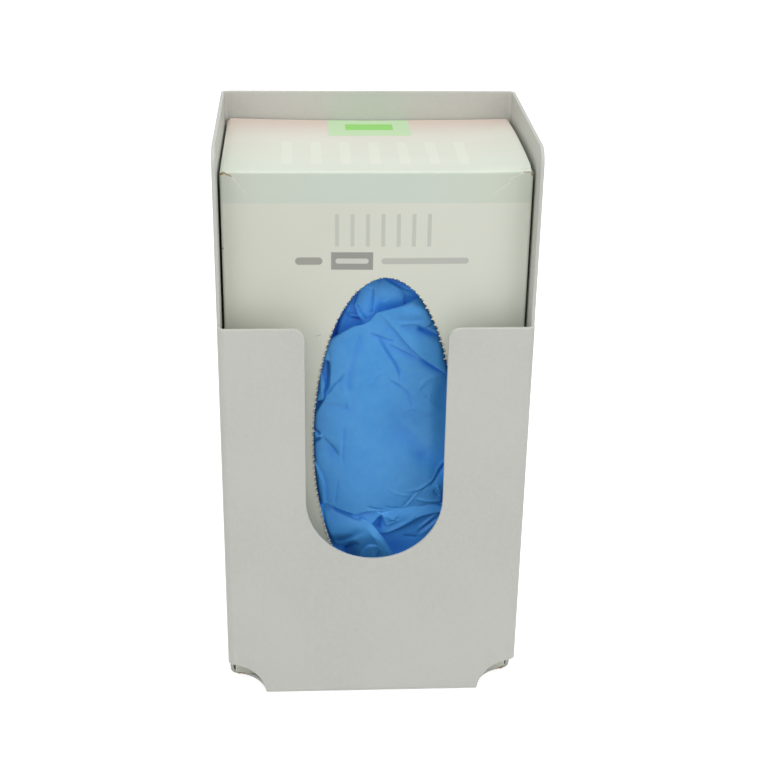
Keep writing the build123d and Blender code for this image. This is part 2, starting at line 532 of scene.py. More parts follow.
def carton_walls(patches):
    """Side and back walls with the four upright folds, joined to the face at both ends."""
    low, high = carton_low, carton_high
    corners = [
        (FACE_RIGHT, SIDE_FRONT), (FACE_RIGHT, SIDE_BACK),
        (FACE_LEFT, SIDE_BACK), (FACE_LEFT, SIDE_FRONT),
    ]
    walls = [
        ((high[0], SIDE_FRONT), (high[0], SIDE_BACK)),
        ((FACE_RIGHT, high[1]), (FACE_LEFT, high[1])),
        ((low[0], SIDE_BACK), (low[0], SIDE_FRONT)),
    ]
    path = [arc(corners[0], (FOLD, FOLD), -90, 0)]
    for (start, end), corner, angle in zip(walls, corners[1:], (0, 90, 180)):
        path.append(np.linspace(start, end, WALL_SAMPLES)[1:-1])
        path.append(arc(corner, (FOLD, FOLD), angle, angle + 90))
    path = np.concatenate(path)
    grid = np.zeros((len(path), len(FACE_UP), 3))
    grid[:, :, :2] = path[:, None]
    grid[:, :, 2] = FACE_UP
    patches.add(grid)


def flap(patches, side, shape, hinge, inwards, length, layer, taper):
    """One end flap: a fold along the hinge line, then a sheet of a given shape, narrower at its free edge."""
    rise = max(FOLD - layer * BOARD, LEAST_RISE)
    fold = arc((FOLD, 0), (FOLD, rise), 180, 90)
    reach = np.concatenate([fold[:, 0], np.linspace(FOLD, length, FLAP_SAMPLES)[1:]])
    height = np.concatenate([fold[:, 1], np.full(FLAP_SAMPLES - 1, rise)])
    end_z = FACE_HEAD if side > 0 else FACE_FOOT
    share = np.linspace(-1, 1, len(hinge))
    along = (hinge[-1] - hinge[0]) / np.hypot(*(hinge[-1] - hinge[0]))
    narrowing = taper * np.clip((reach - FOLD) / (length - FOLD), 0, 1)
    grid = np.zeros((len(reach), len(hinge), 3))
    for row, out, up, narrow in zip(grid, reach, height, narrowing):
        row[:, :2] = hinge + out * np.array(inwards) - narrow * share[:, None] * along
        row[:, 2] = end_z + side * (up + shape(row[:, 0], row[:, 1]) * min(1, out / (3 * FOLD)))
    patches.add(grid, flip=side > 0)


def lid_shape(x, y):
    """The top's shape: sagging in the middle, drooping at its left side and lifted at its right."""
    width = carton_high[0]
    back = np.clip((y - carton_low[1]) / (carton_high[1] - carton_low[1]), 0, 1)
    sag = -0.8 * back**1.5 * (1 - ((x - 5) / width) ** 2)
    droop = -1.0 * np.exp(-(width + x) / 4.0) * np.sin(math.pi * back)
    lift = 2.6 * np.clip((x - 36) / (width - 36), 0, 1) ** 1.5 * np.sin(math.pi * (0.15 + 0.85 * back)) ** 0.7
    return sag + droop + lift + 0.10 * soft_noise(x, y, 60, 9)


def flat_shape(x, y):
    return np.zeros(np.shape(x))


def carton_ends(patches):
    """Outer, dust and inner flaps at the top and the bottom, in three layers."""
    (left, front, _), (right, back, _) = carton_low, carton_high
    across = FACE_ACROSS[:, None] * (1, 0)
    along = np.linspace((0, SIDE_FRONT), (0, SIDE_BACK), HINGE_SAMPLES)
    flaps = (
        (across + (0, front), (0, 1), back - front - BOARD, 0, 0.2),
        (along + (right, 0), (-1, 0), DUST_FLAP, 1, 9.0),
        (along[::-1] + (left, 0), (1, 0), DUST_FLAP, 1, 9.0),
        (across[::-1] + (0, back), (0, -1), INNER_FLAP, 2, 3.0),
    )
    for side, shape in ((1, lid_shape), (-1, flat_shape)):
        for row in flaps:
            flap(patches, side, shape, *row)


def kraft_board():
    """The brown inside of the board, with fibres."""
    shader = Shader("kraft_board")
    fibres = shader.noise(0.5, detail=4, roughness=0.7)
    colour = shader.mix(shader.ramp(fibres, 0.3, 0.7), srgb(160, 144, 118), srgb(194, 180, 154))
    shader.set(base_color=colour, roughness=0.9, normal=shader.bump(fibres, 0.15), specular_ior_level=0.2)
    return shader.material


STRIPES = 7
BARS_Z = 205.5


def print_stripes(shader, across, up, left, right, low, high, width):
    """A row of plain upright stripes between left and right."""
    total, soft = 0.0, 0.12
    for middle in np.linspace(left + width / 2, right - width / 2, STRIPES):
        total = shader.math("ADD", total, shader.band(across, middle - width / 2, middle + width / 2, soft))
    return shader.times(total, shader.band(up, low, high, soft))


def printed_walls(shader, is_front):
    """Cream walls with a grey-green band under the top fold, and stripes and bars on the face."""
    x, z = shader.x, shader.z
    cream = shader.mix(shader.ramp(x, -60, 50), srgb(212, 214, 201), srgb(216, 219, 206))
    band_left = shader.mix(shader.ramp(x, -62, 0), srgb(202, 209, 196), srgb(203, 213, 201))
    band = shader.mix(shader.ramp(x, 0, 60), band_left, srgb(205, 213, 198))
    walls = shader.mix(shader.ramp(z, 229.8, 230.4), cream, band)

    def bar(start, end, half_height):
        return shader.streak((start, 0, BARS_Z), (end, 0, BARS_Z), half_height, 0.15, axes=(1, 0, 1))

    for mark, ink in (
        (print_stripes(shader, x, z, -16.8, 22.2, 211.7, 225.5, 1.6), srgb(196, 199, 188)),
        (bar(-31.4, -23.5, 1.6), srgb(158, 158, 150)),
        (bar(3.4, 36.5, 1.3), srgb(186, 188, 180)),
        (shader.area(x, -18.4, -1.3, z, 201.8, 209.3, 0.15), srgb(150, 151, 145)),
        (bar(-15.5, -4.2, 1.1), srgb(205, 206, 198)),
    ):
        walls = shader.mix(shader.times(mark, is_front), walls, ink)
    return walls


def printed_top(shader):
    """A top that is mint at the front and pinkish at the back, with stripes and a green label."""
    x, y = shader.x, shader.y
    top = shader.mix(shader.ramp(y, -34, 22), srgb(222, 230, 216), srgb(228, 227, 215))
    top = shader.mix(shader.ramp(y, 12, 46), top, srgb(222, 205, 193))
    stripes = print_stripes(shader, x, y, -38.2, 38.2, -23.5, 9.0, 4.2)
    top = shader.mix(shader.times(stripes, 0.75), top, srgb(230, 235, 221))
    top = shader.mix(shader.area(x, -18.3, 17.2, y, 19.0, 47.0, 0.2), top, srgb(200, 228, 185))
    return shader.mix(shader.area(x, -10.8, 9.9, y, 28.4, 38.1, 0.2), top, srgb(152, 218, 116))


def worn(shader, colour):
    """Brown where the liner has torn or is scuffed at a fold, pale creases, and one smudge."""
    ragged = shader.wobbled(1.2, 0.45)
    torn = shader.streaks(
        (
            ((-62.6, -33.9, 243.4), (-57.8, -33.9, 241.2), 0.32),
            ((-62.4, -33.6, 242.2), (-60.9, -33.9, 242.6), 0.65),
            ((58.3, -33.9, 242.9), (62.6, -33.6, 242.4), 0.22),
            ((61.8, -33.9, 241.9), (62.8, -33.4, 241.5), 0.45),
            ((-61.9, -34.0, 2.3), (-58.6, -34.0, 1.6), 0.8),
            ((59.4, -34.0, 1.7), (62.4, -33.8, 3.2), 0.8),
            ((-62.2, -33.8, 210.6), (-61.9, -33.8, 211.2), 0.3),
        ),
        0.12,
        ragged,
    )
    upright_fold = shader.times(
        shader.ramp(shader.math("ABSOLUTE", shader.x), 62.15, 62.4),
        shader.ramp(shader.y, -33.3, -33.6),
    )
    patchy = shader.ramp(shader.noise(2.2, detail=4, roughness=0.7), 0.56, 0.66)
    kraft = shader.mix(shader.noise(0.6, detail=4), srgb(132, 106, 70), srgb(190, 164, 126))
    colour = shader.mix(shader.math("MAXIMUM", torn, shader.times(patchy, upright_fold)), colour, kraft)
    creases = shader.streaks(
        (
            ((-57.5, -34.0, 240.9), (-52.6, -34.0, 234.3), 0.22),
            ((46.1, -34.0, 233.3), (52.7, -34.0, 238.3), 0.22),
            ((53.0, -34.0, 240.0), (58.3, -34.0, 242.4), 0.22),
        ),
        0.15,
        ragged,
    )
    colour = shader.mix(shader.times(creases, 0.55), colour, srgb(232, 233, 222))
    smudge = shader.streak((-24.4, -34.3, 172.5), (-22.8, -34.3, 172.9), 0.25, 0.2, axes=(1, 0, 1))
    return shader.mix(shader.times(smudge, 0.5), colour, srgb(150, 158, 165))


def inside_opening(shader):
    """Twice the distance from the opening's ellipse into the opening, in millimetres."""
    squares, slopes = [], []
    for place, middle, half in (
        (shader.x, OPENING_X, OPENING_HALF_WIDTH),
        (shader.z, CARTON_MIDDLE_Z, OPENING_HALF_HEIGHT),
    ):
        off = shader.math("DIVIDE", shader.math("SUBTRACT", place, middle), half)
        slope = shader.math("DIVIDE", off, half)
        squares.append(shader.times(off, off))
        slopes.append(shader.times(slope, slope))
    gap = shader.math("SUBTRACT", 1.0, shader.math("ADD", *squares))
    return shader.math("DIVIDE", gap, shader.math("SQRT", shader.math("ADD", *slopes)))


def printed_board():
    """White-lined board with a pale print, scuffed at its folds and torn round its opening."""
    shader = Shader("printed_board")
    facing = shader.normal()
    is_top = shader.ramp(facing[2], 0.45, 0.75)
    is_front = shader.ramp(facing[1], -0.75, -0.45, 1.0, 0.0)
    colour = worn(shader, shader.mix(is_top, printed_walls(shader, is_front), printed_top(shader)))

    # The torn ties show their brown core where they stand into the opening
    inside = shader.times(shader.ramp(inside_opening(shader), 0.5, 1.2), is_front)
    core = shader.mix(shader.ramp(shader.x, -10, 25), srgb(216, 208, 182), srgb(204, 180, 142))
    tie = shader.mix(shader.noise(0.5, detail=3), core, srgb(222, 208, 178))
    colour = shader.mix(inside, colour, tie)

    fibres = shader.noise(0.8, detail=3, roughness=0.6)
    clouds = shader.noise(28, detail=2)
    colour = shader.mix(shader.ramp(clouds, 0.3, 0.7, 0.0, 0.06), colour, srgb(190, 192, 180))
    waves = shader.bump(shader.noise(18, detail=1), 0.12)
    shader.set(
        base_color=colour,
        roughness=shader.ramp(fibres, 0.3, 0.7, 0.5, 0.62),
        specular_ior_level=0.35,
        normal=shader.bump(fibres, 0.02, under=waves),
    )
    return shader.material


def add_carton():
    patches = Patches()
    carton_face(patches)
    carton_walls(patches)
    carton_ends(patches)
    materials = [printed_board(), kraft_board()]
    carton = mesh_object("folded_carton", patches.all_points(), patches.faces, materials)
    board = carton.modifiers.new("board", "SOLIDIFY")
    board.thickness = BOARD * MM
    board.offset = -1
    board.material_offset = 1
    settle(carton)
    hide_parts("carton")
    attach(carton, BODY)


add_carton()


# ---------------------------------------------------------------- gloves: folded nitrile film

front_low, front_high = box_mm("front_glove")
lower_low, lower_high = box_mm("lower_glove")
FILM_BACK_Y = front_high[1] - 0.3

# How far forward of that plane each film stands before it is folded, in millimetres
MAIN_OUT, PUFF_OUT, DEEP_OUT = 7.3, 5.6, 3.6
CUFF_OUT, UNDER_OUT, BACK_OUT = 6.4, 6.8, 1.0
PADS = 24
# Values kept at the film's points: painted shade, and a painted glow
PAINTED_SHADE = "hollow"
PAINTED_GLOW = "glow"


def nitrile():
    """Blue nitrile film: satin and finely pebbled, with painted shade, a deeper blue, in its hollows and
    creases.

    A faint painted blue glow, from emission, lifts its shade where it lies deep."""
    shader = Shader("nitrile")
    clouds = shader.noise(22, detail=3)
    colour = shader.mix(shader.ramp(clouds, 0.3, 0.7), srgb(66, 148, 218), srgb(76, 156, 222))
    mottle = shader.noise(3.2, detail=3, roughness=0.6)
    colour = shader.mix(shader.ramp(mottle, 0.35, 0.7, 0.0, 0.25), colour, srgb(60, 138, 212))
    # Painted shade: a deeper, more saturated blue where the film lies in a hollow, a crease or deep behind
    # the front
    colour = shader.mix(shader.value_at_points(PAINTED_SHADE), colour, srgb(10, 106, 222))
    ripple = shader.bump(shader.noise(5, detail=2), 0.08)
    shader.set(
        base_color=colour,
        roughness=shader.ramp(mottle, 0.3, 0.7, 0.42, 0.54),
        specular_ior_level=0.4,
        normal=shader.bump(shader.noise(0.45, detail=2), 0.02, under=ripple),
        # Painted glow: a faint blue emission that lifts the film's shade
        emission_color=srgb(48, 112, 188),
        emission_strength=shader.times(shader.value_at_points(PAINTED_GLOW), 0.34),
    )
    return shader.material


def smooth_curve(points, steps=6):
    """A Catmull-Rom curve through points."""
    points = np.asarray(points, float)
    padded = np.vstack([2 * points[0] - points[1], points, 2 * points[-1] - points[-2]])
    t = np.linspace(0, 1, steps, endpoint=False)[:, None]
    pieces = []
    for a, b, c, d in zip(padded, padded[1:], padded[2:], padded[3:]):
        bend = (2 * a - 5 * b + 4 * c - d) * t**2 + (3 * b - a - 3 * c + d) * t**3
        pieces.append(0.5 * (2 * b + (c - a) * t + bend))
    return np.vstack(pieces + [points[-1:]])


def hump(x, z, middle, radii):
    """A smooth mound from 0 to 1 about a place."""
    return np.exp(-(((x - middle[0]) / radii[0]) ** 2) - ((z - middle[1]) / radii[1]) ** 2)


def blurred(values, reach):
    """A grid's values averaged over reach places each way, twice."""
    window = 2 * reach + 1
    for axis in (0, 1, 0, 1):
        pad = [(reach, reach) if axis == i else (0, 0) for i in (0, 1)]
        total = np.cumsum(np.insert(np.pad(values, pad, mode="edge"), 0, 0, axis=axis), axis=axis)
        size = values.shape[axis]
        ahead, behind = np.take(total, range(window, window + size), axis), np.take(total, range(size), axis)
        values = (ahead - behind) / window
    return values


class Film:
    """A sheet of film seen from the front: out says how far forward it stands at each place."""

    def __init__(self, x, z, out, painted_glow_base=0.0):
        self.x, self.z = x, z
        self.painted_glow_base = painted_glow_base
        self.out = np.full(x.shape, float(out))

    def measure(self, points):
        """Distance to a curve, which is positive on the left of its way, and the share along it."""
        curve = smooth_curve(points)
        best = np.full(self.x.shape, np.inf)
        side = np.zeros(self.x.shape)
        along = np.zeros(self.x.shape)
        lengths = np.hypot(*np.diff(curve, axis=0).T)
        way = np.concatenate([[0], np.cumsum(lengths)])
        for start, end, length, before in zip(curve, curve[1:], lengths, way):
            if length < 1e-9:
                continue
            run = (end - start) / length
            off_x, off_z = self.x - start[0], self.z - start[1]
            held = np.clip(off_x * run[0] + off_z * run[1], 0, length)
            distance = np.hypot(off_x - held * run[0], off_z - held * run[1])
            nearer = distance < best
            best = np.where(nearer, distance, best)
            side = np.where(nearer, run[0] * off_z - run[1] * off_x, side)
            along = np.where(nearer, (before + held) / way[-1], along)
        return np.where(side >= 0, best, -best), along

    def fade(self, along, ends):
        """1 along the middle of a fold, running out at its ends. ends gives the two shares."""
        first, last = ends
        rise = ease(along, 0, first) if first > 0 else 1.0
        fall = 1 - ease(along, 1 - last, 1) if last > 0 else 1.0
        return rise * fall

    def fold(self, points, height, left, right, ends=(0.25, 0.25), power=1.25):
        """A ridge, or with a negative height a valley, left and right wide on its two sides."""
        distance, along = self.measure(points)
        width = np.where(distance > 0, left, right)
        self.out += height * np.exp(-((np.abs(distance) / width) ** power)) * self.fade(along, ends)

    def folds(self, *rows):
        """Several folds, each given by the values that fold takes."""
        for row in rows:
            self.fold(*row)

    def tuck(self, points, height, edge, relax, ends):
        """Film that stands proud on the left of a curve, edge wide at its border, and relaxes away."""
        distance, along = self.measure(points)
        proud = ease(distance, -edge / 2, edge / 2) * np.exp(-np.clip(distance, 0, None) / relax)
        self.out += height * proud * self.fade(along, ends)

    def waved(self, seed, size, height):
        """Adds soft waves about size millimetres long."""
        self.out += height * soft_noise(self.x, self.z, size, seed)

    def sunk_at_opening(self, depth, reach):
        """Lets the film fall back behind the opening's torn edge."""
        share = np.hypot(*from_opening(self.x, self.z))
        inside = np.clip((1 - share) * OPENING_HALF_WIDTH, 0, None)
        self.out -= depth * np.exp(-inside / reach)

    def rolled(self, points, radius):
        """Rounds the film back towards an edge that follows a curve."""
        distance = np.abs(self.measure(points)[0])
        inside = np.clip(radius - distance, 0, radius)
        self.out -= radius - np.sqrt(np.clip(radius**2 - inside**2, 0, None))

    def turned_back(self, side, radius, length):
        """Adds film past one side of the grid that rolls round and runs a little way behind."""
        axis, last, into_x, into_z = {
            "left": (1, 0, 1, 0),
            "right": (1, -1, -1, 0),
            "top": (0, -1, 0, -1),
        }[side]
        x, z, out = (np.take(values, last, axis=axis) for values in (self.x, self.z, self.out))
        angles = np.radians([30, 60, 90])
        steps = [(radius * (1 - math.cos(a)), radius * math.sin(a)) for a in angles]
        steps += [(radius + length * share, radius + 0.4 * share) for share in (0.4, 1.0)]
        new = [(x + into_x * along, z + into_z * along, out - back) for along, back in steps]
        if last == 0:
            new = new[::-1]
        for name, values in zip(("x", "z", "out"), zip(*new)):
            parts = [getattr(self, name), np.stack(values, axis=axis)]
            setattr(self, name, np.concatenate(parts[::-1] if last == 0 else parts, axis=axis))

    def crease(self):
        """How sharp a valley each place lies in, from 0 to 1."""
        return np.clip((blurred(self.out, 5) - self.out) / 0.45, 0, 1)

    def hollow(self):
        """How much painted shade each place gets, from 0 to 1: more where it lies below its own surroundings,
        and behind the front.
        """
        fold = np.clip((blurred(self.out, 14) - self.out) / 1.2, 0, 1)
        deep = 1 - ease(self.out, 2.0, 8.0)
        return np.clip(0.1 * self.crease() + 0.4 * fold + 0.4 * deep, 0, 1)

    def glow(self):
        """How much painted glow each place gets, from 0 to 1: most where it lies deep, least in sharp
        creases.
        """
        deep = 1 - ease(self.out, 3.0, 9.0)
        return (1 - 0.9 * self.crease()) * np.clip(self.painted_glow_base + deep, 0, 1)

    def grid(self, low, high):
        """The film's points in space, held inside a box."""
        y = np.clip(FILM_BACK_Y - self.out, low[1] + 0.02, high[1] - 0.02)
        return np.stack([np.clip(self.x, low[0], high[0]), y, self.z], axis=2)


def spaced(start, fine_from, fine_to, end, fine, coarse=3.0):
    """Sample places that are fine in the middle and coarse outside."""
    before = np.linspace(start, fine_from, max(2, int((fine_from - start) / coarse) + 1))[:-1]
    middle = np.linspace(fine_from, fine_to, int((fine_to - fine_from) / fine) + 1)
    after = np.linspace(fine_to, end, max(2, int((end - fine_to) / coarse) + 1))[1:]
    return np.concatenate([before, middle, after])


def under_curve(across, bottom, top_points, rows):
    """A grid that fills the space from bottom up to a line given by points across it."""
    top_x, top_z = np.array(top_points, float).T
    top = np.interp(across, top_x, top_z)
    smooth = np.convolve(np.pad(top, 2, mode="edge"), np.ones(5) / 5, mode="valid")
    low = bottom if np.ndim(bottom) == 0 else np.interp(across, *np.array(bottom, float).T)
    x = np.broadcast_to(across, (len(rows), len(across)))
    z = low + (smooth - low) * rows[:, None]
    return x, z


# Lines across the opening, as pairs of x and z
RIDGE = [
    (-53.5, 150), (-30, 152), (-24.8, 158), (-22.4, 162.5), (-20.9, 166.6), (-18.7, 169.3), (-16.6, 170.5),
    (-12.8, 172.6), (-9.8, 174.2), (-8.3, 174.9), (-6.4, 174.9), (-4.5, 175.7), (-3, 176.4), (-1.5, 177.5),
    (-0.4, 179.3), (0.4, 180.7), (2.3, 181), (5.3, 182.1), (8.3, 183.1), (12, 184.5), (14.6, 185.8),
    (17.2, 187.3), (18.9, 187.6), (21, 185.2), (23.4, 180.4), (25.2, 177.2), (30, 176), (53.5, 175),
]
FRONT_FOOT = [
    (-53.5, 94), (-30, 92.8), (-23.6, 90.7), (-21.2, 89.8), (-18, 88.2), (-15.1, 86.6), (-11, 84.9),
    (-7.3, 83.4), (-5.3, 84.3), (-2.5, 85), (0.8, 85.2), (4.1, 84.8), (6.9, 84.3), (9.4, 84.2), (14, 85.6),
    (19.6, 87), (24.4, 88.2), (28.5, 88), (31, 86.4), (38, 87.5), (53.5, 88.5),
]
LOWER_EDGE = [
    (-53.5, 87.9), (-34, 91.5), (-26, 91.3), (-23.6, 90.8), (-21.2, 89.7), (-18, 87.9), (-15.1, 86.1),
    (-11, 84.2), (-7.3, 82.3), (-4.1, 80.8), (-0.4, 79.2), (2.7, 75.9), (5.6, 72.1), (8, 67.7), (9.9, 63.8),
    (11.6, 58.6), (13.4, 46), (14.2, 4),
]

# The two sides of the puffed film, as pairs of z and x
PUFF_LEFT = [
    (166.0, -4.0), (174.0, -4.6), (176.6, -6.0), (178.9, -7.4), (180.1, -8.1), (183.0, -8.7),
    (184.2, -8.5), (187.4, -7.6), (191.1, -6.3), (193.6, -4.3), (196.2, -0.6), (198.5, 0.4),
    (201.5, 0.8),
]
PUFF_RIGHT = [
    (166.0, 32.0), (184.0, 31.0), (186.6, 27.0), (188.0, 20.0), (188.5, 17.2), (189.5, 13.4),
    (190.7, 10.8), (192.4, 8.1), (193.8, 5.8), (195.4, 3.6), (196.6, 2.0), (198.5, 1.4), (201.5, 1.2),
]


def main_film():
    """The big smooth film of the front glove, from its top ridge to the fold over the lower glove."""
    across = spaced(front_low[0], -27, 34, front_high[0], fine=0.34)
    x, z = under_curve(across, FRONT_FOOT, RIDGE, np.linspace(0, 1, 290))
    film = Film(x, z, MAIN_OUT)
    film.out += 0.9 * hump(x, z, (-3, 128), (16, 40)) + 0.6 * hump(x, z, (-12, 162), (12, 12))
    film.out -= 0.7 * (1 - ease(x, -29, -20))
    film.waved(31, 46, 0.3)
    film.waved(37, 19, 0.05)
    shade_right_side(film)
    top_lobe(film)
    knot_valleys(film)
    right_gathers(film)
    left_folds(film)
    foot_wrinkles(film)
    film.sunk_at_opening(3.0, 0.45)
    film.rolled(RIDGE, 0.8)
    film.turned_back("top", 0.8, 5)
    return film


def shade_right_side(film):
    """The film falls away towards the right of the opening, furthest along a broad hollow."""
    x, z = film.x, film.z
    film.out -= 2.0 * ease(x, 24, 34.5) * (1 - ease(z, 144, 156))
    film.out -= 1.5 * ease(x, 27, 34) * ease(z, 150, 160)
    film.folds(
        ([(-4, 134), (8, 127), (17, 119), (24, 112), (31, 106.5)], -1.8, 9, 7, (0.5, 0), 2),
        ([(18.5, 117), (22, 112), (26.5, 108), (31, 104.5)], -0.6, 5, 4, (0.4, 0), 2),
        ([(33, 152), (32, 145), (31.5, 138), (32, 130)], -0.9, 4.5, 4.5, (0.1, 0.3), 2),
    )


def top_lobe(film):
    """The lobe at the top right, its curled lower edge, and the long diagonal fold under it."""
    x, z = film.x, film.z
    film.out += 2.2 * hump(x, z, (17, 181.5), (10, 5)) + 0.5 * hump(x, z, (18, 163), (9, 7))
    film.out -= 1.6 * ease(z, 183, 188) * ease(x, 3, 12)
    film.tuck(
        [(8.4, 173.8), (11.1, 175.1), (13.7, 175.5), (17.5, 175.6), (19.3, 174.6), (21, 174), (22.7, 174.7),
         (24, 176.6), (24.2, 179), (22.6, 183.5)], 0.9, 0.6, 60, (0.25, 0),
    )
    film.folds(
        ([(17.6, 175.2), (19.9, 173.1), (23.4, 171.4), (29.3, 168.7)], -1.9, 0.5, 1.5, (0.3, 0), 1.6),
        ([(21.6, 173.9), (24.4, 173.2), (27.5, 172.4)], 0.9, 0.5, 0.5, (0.3, 0)),
        ([(7, 178.4), (12, 177.6), (18, 177.8), (22, 177.6)], -0.5, 2.8, 0.9, (0.25, 0.25), 1.8),
    )
    film.tuck(
        [(0, 180.1), (3.4, 178), (6.1, 175.1), (8.5, 172.6), (10.8, 169.7), (13.2, 166.7), (15.9, 164.2),
         (17.9, 162.1), (21.8, 158.9), (25.7, 156.1), (33, 151.2)], 2.3, 1.1, 9, (0.75, 0),
    )
    film.folds(
        ([(0.8, 181), (4.2, 178.6), (7, 175.6), (9.4, 173), (13.8, 167.6), (18.6, 162.9), (26.2, 157)],
         0.55, 1.6, 0.7, (0.15, 0.3)),
        ([(17.9, 161.2), (21.8, 158), (25.8, 155.2), (33, 150.3)], -1.3, 0.35, 1.4, (0.35, 0)),
        ([(4.2, 167.4), (10.2, 163.9), (14, 161.8), (17.9, 159.7), (21.8, 157.4)], -0.8, 0.35, 1.8,
         (0.3, 0.4)),
        ([(-3.6, 172.4), (0.5, 170.3), (3.6, 169), (8.4, 167.4)], -0.7, 0.4, 1, (0.35, 0.1)),
    )


def knot_valleys(film):
    """Valleys that run down from the knot, soft on the left and crisp on the right."""
    film.folds(
        ([(-5, 172.5), (-6.3, 168.2), (-7.2, 164.4), (-8.2, 161.1), (-9.7, 154.3), (-10.7, 149.5),
         (-11.5, 142.6)], -0.7, 1.6, 1.2, (0.12, 0.15), 2),
        ([(0.2, 171.8), (2.4, 168.1), (4.4, 164.3), (6.4, 160.9), (8.8, 157.1), (10.4, 153.7), (11.4, 150)],
         -1.1, 1.2, 0.35, (0.3, 0.15)),
        ([(3.4, 168.4), (6, 163.8), (8.3, 160.2), (10.6, 156.2), (12, 151.8)], 0.45, 0.4, 0.9),
        ([(-4.4, 175), (-6.2, 173.4), (-8.8, 172.6)], -0.2, 0.4, 0.8),
        ([(-17.9, 168.1), (-15.1, 167.9), (-9, 169.3), (-6.5, 169.2)], -0.22, 0.4, 1.2, (0.4, 0.4)),
        ([(-19.4, 166), (-18.9, 158), (-19, 152)], -0.3, 0.8, 0.8),
    )


def right_gathers(film):
    """Wrinkles that gather at the right, below the valley from the knot."""
    film.folds(
        ([(5, 151.3), (7.8, 149), (11, 146.8), (13, 145.4), (15, 143.2), (16.3, 141.5), (19.1, 140.1)],
         -0.6, 0.3, 0.7, (0.3, 0.3)),
        ([(5.4, 151.9), (8.2, 149.7), (11.4, 147.6), (13.6, 146), (15.8, 143.8)], 0.25, 0.5, 0.5),
        ([(10.6, 152.2), (11.3, 149.8), (11.2, 147.8)], -0.3, 0.4, 0.3),
        ([(12.4, 150.8), (12.9, 149.2), (12.6, 147.4), (13.2, 146)], -0.28, 0.35, 0.4),
        ([(17.4, 140.5), (19.8, 139.5), (21.8, 139.7), (22.8, 141.4), (21.6, 142.8), (20.2, 142)], -0.12,
         0.35, 0.45, (0.3, 0.3)),
        ([(20.4, 138.9), (23.2, 139), (24.4, 141.6), (22.8, 144.4)], 0.08, 0.5, 0.5),
        ([(15.1, 142.6), (15.7, 140.2), (16.5, 138), (16.9, 135.4)], -0.3, 0.3, 0.45),
        ([(13.4, 133.8), (16.4, 135.9), (19.2, 134.9), (23.2, 133.5), (28, 132.4)], 0.3, 0.5, 0.7),
        ([(14.6, 134.6), (16.6, 134.9), (18.6, 134.2)], -0.2, 0.3, 0.5),
        ([(-1.8, 146), (-0.4, 149.6), (2.2, 152.6), (6, 154)], 0.28, 0.8, 1),
        ([(6.4, 149), (5.7, 145.8), (6.4, 142.5)], -0.22, 0.7, 0.7),
        ([(18, 142.9), (20.1, 146.8), (22.7, 149.6), (26.6, 150.6), (32, 150.6)], 0.3, 1, 1.5, (0.3, 0)),
        ([(19, 141.5), (21.4, 145.4), (24.4, 147.6), (28.5, 147.4)], -0.15, 0.8, 0.8),
        ([(9, 154.5), (16, 148), (24, 139), (32, 131)], 0.2, 1.2, 1.2),
        ([(3, 144), (12, 136), (22, 128), (32, 122)], 0.2, 1.6, 1.3),
        ([(9, 132), (20, 124), (30, 115)], 0.18, 1.6, 1.2),
    )


def left_folds(film):
    """Folds down the left side, with bits of the fingers tucked behind its edge."""
    film.tuck(
        [(-27, 161.4), (-22.6, 159.3), (-19.6, 158.9), (-19.2, 154.8), (-19.3, 150.5), (-19.9, 146),
         (-22.5, 139.5), (-27, 131.5)], 2.4, 1.5, 60, (0, 0),
    )
    film.tuck(
        [(-28, 139.6), (-25, 140.1), (-22.1, 140.7), (-21.2, 145.7), (-20.9, 148.3), (-23, 153.7),
         (-28, 160)], 2.4, 0.6, 30, (0, 0),
    )
    film.folds(
        ([(-23.4, 152.4), (-22.6, 147.6), (-22.9, 143)], 0.5, 1, 1),
        ([(-11.4, 155.2), (-13.7, 151.7), (-15.2, 149.6), (-18.4, 146.4), (-20.6, 143)], -1, 0.9, 0.35,
         (0.4, 0.1)),
        ([(-10.9, 155), (-13, 151.6), (-16.2, 147.5), (-19.4, 143.2), (-22.4, 137.6)], 0.35, 0.7, 0.9),
        ([(-28, 127.8), (-25.9, 126.4), (-22.6, 123.9)], -1.7, 0.5, 0.5, (0, 0.25)),
        ([(-28, 123.5), (-25, 123.5), (-22, 123.4)], 1.2, 0.9, 0.9, (0, 0.15)),
        ([(-28, 119.2), (-25.5, 120.7), (-22.4, 123)], -1.6, 0.5, 0.6, (0, 0.25)),
        ([(-22.4, 123.4), (-19.6, 119.7), (-16.8, 116), (-14.2, 111.6)], -0.6, 1, 2.6, (0.2, 0.3)),
    )
    film.tuck(
        [(-21, 88), (-21.2, 93), (-21.5, 98.4), (-22.3, 102.5), (-24, 107.2), (-26, 111.4), (-29, 115.5)],
         1.1, 0.5, 40, (0, 0.1),
    )
    film.folds(
        ([(-20.4, 91), (-20.7, 98), (-21.6, 102.6), (-23.4, 107.4)], -0.3, 0.4, 1.6, (0, 0.2)),
        ([(-11.9, 139.6), (-12.3, 137.4), (-12.6, 135.2)], -0.4, 1, 0.3),
        ([(-12.9, 130), (-13, 124.1), (-13.3, 117.4), (-13.6, 112.8), (-13.4, 107.6)], -0.6, 1.6, 0.35,
         (0.3, 0.25)),
        ([(-15.2, 102.5), (-15.9, 96.6), (-16.8, 89)], -0.3, 0.8, 0.4, (0.3, 0.05)),
        ([(-24, 137), (-18, 138.2), (-12, 136.4), (-7, 134.6)], -0.35, 1.2, 2.2, (0.25, 0.25), 2),
    )
    film.out -= 0.9 * hump(film.x, film.z, (-19, 115), (4.0, 4.5))


